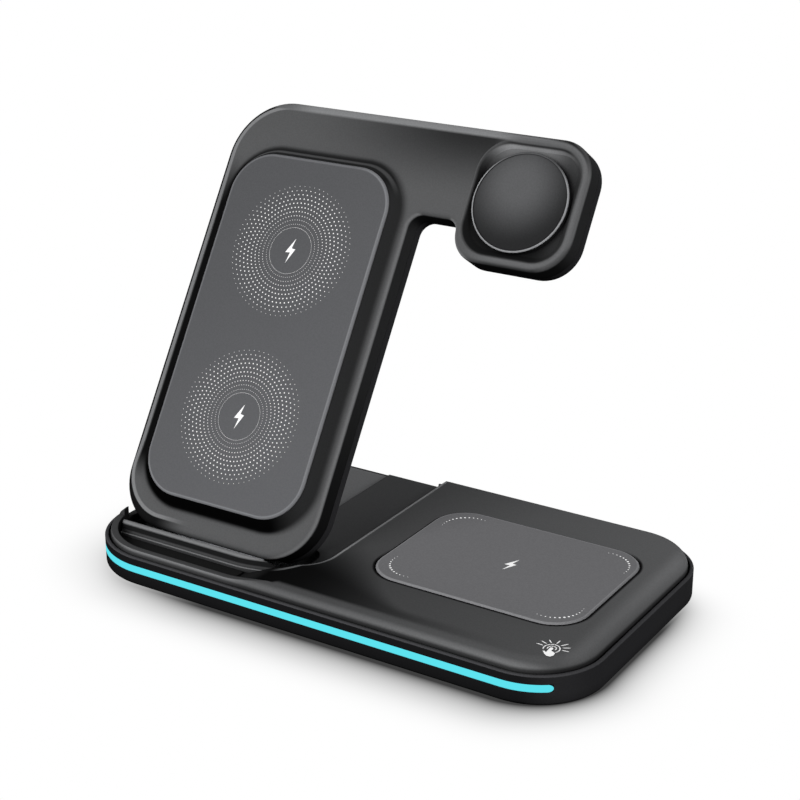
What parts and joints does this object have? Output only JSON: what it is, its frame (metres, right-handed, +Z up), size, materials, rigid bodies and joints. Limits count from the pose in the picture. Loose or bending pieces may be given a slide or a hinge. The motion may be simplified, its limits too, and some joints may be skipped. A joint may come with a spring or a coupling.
{
  "type": "foldable wireless charger",
  "caption": "Flat charging base with an earbud pad and a front light strip, and a hinged L-shaped stand with a raised phone pad and a watch disc on its arm; the stand folds down flat.",
  "frame": {"origin": "centre of the bounding box in plan, on the table under the rubber feet", "axes": "+X along the base towards the earbud side, +Y to the back, +Z up"},
  "size_m": [0.155, 0.0932, 0.1173],
  "materials": {
    "shell": "fine matt, black",
    "pad": "soft-touch, dark grey",
    "disc": "satin, dark grey",
    "strip": "translucent light guide, lit cyan",
    "rubber": "matt, black",
    "steel": "bright",
    "coil": "enamelled copper wire",
    "ferrite": "sintered sheet",
    "board": "solder mask"
  },
  "bodies": {
    "base": {"base_bottom_shell": "shell", "base_top_cover": "shell", "phone_ledge": "shell", "earbud_pad": "pad", "phone_rest_pad": "pad", "light_strip": "strip", "rubber_foot_1": "rubber", "rubber_foot_2": "rubber", "rubber_foot_3": "rubber", "rubber_foot_4": "rubber", "hinge_bracket": "steel", "hinge_pin": "steel", "friction_washer_left": "steel", "friction_washer_right": "steel", "usb_c_socket": "steel", "base_screw_1": "steel", "base_screw_2": "steel", "base_screw_3": "steel", "base_screw_4": "steel", "earbud_coil": "coil", "earbud_ferrite": "ferrite", "base_circuit_board": "board", "lamp_board": "board", "touch_sensor": "board"},
    "stand": {"stand_front_shell": "shell", "stand_back_shell": "shell", "phone_pad": "pad", "watch_disc": "disc", "hinge_leaf": "steel", "upper_phone_coil": "coil", "lower_phone_coil": "coil", "upper_phone_ferrite": "ferrite", "lower_phone_ferrite": "ferrite", "watch_coil": "coil", "watch_magnet": "steel", "stand_circuit_board": "board", "stand_screw_1": "steel", "stand_screw_2": "steel", "stand_screw_3": "steel", "stand_screw_4": "steel"}
  },
  "joints": [
    {"name": "stand_fold", "type": "hinge", "parent": "base", "child": "stand", "pos_m": [0, -0.01992, 0.0115], "axis": [1, 0, 0], "range_deg": [-57.5, 0]}
  ]
}
